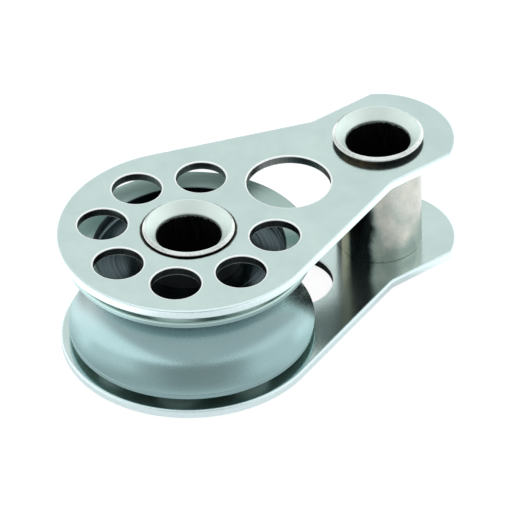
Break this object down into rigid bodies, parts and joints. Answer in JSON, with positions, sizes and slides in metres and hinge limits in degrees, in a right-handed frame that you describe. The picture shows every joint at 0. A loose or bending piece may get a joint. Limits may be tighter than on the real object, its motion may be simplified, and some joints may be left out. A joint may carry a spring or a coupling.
{
  "type": "single sheave block",
  "caption": "Small rope block: a grooved alloy wheel turns between teardrop steel cheeks on a hollow riveted axle, with a hollow rivet at the head.",
  "frame": {"origin": "centre of the hollow axle's bore, halfway between the two side plates", "axes": "+Z along the axle, which is upright when the block lies on its side; +X from the axle to the head rivet; +Y across the plates"},
  "size_m": [0.0545, 0.032, 0.0181],
  "materials": {
    "plate_steel": "polished stainless sheet with tumbled edges",
    "tube_steel": "satin drawn stainless tube",
    "rivet_steel": "satin stainless tube, bright at the flared rims",
    "sheave_alloy": "satin grey anodised aluminium",
    "bush_plastic": "matt black acetal"
  },
  "bodies": {
    "cheek_frame": {"side_plate_upper": "plate_steel", "side_plate_lower": "plate_steel", "axle_sleeve": "tube_steel", "axle_rivet": "rivet_steel", "head_spacer": "tube_steel", "head_rivet": "rivet_steel"},
    "wheel": {"sheave": "sheave_alloy", "bearing_bush": "bush_plastic"}
  },
  "joints": [
    {"name": "sheave_spin", "type": "hinge", "parent": "cheek_frame", "child": "wheel", "pos_m": [0, 0, 0], "axis": [0, 0, 1], "continuous": true}
  ]
}
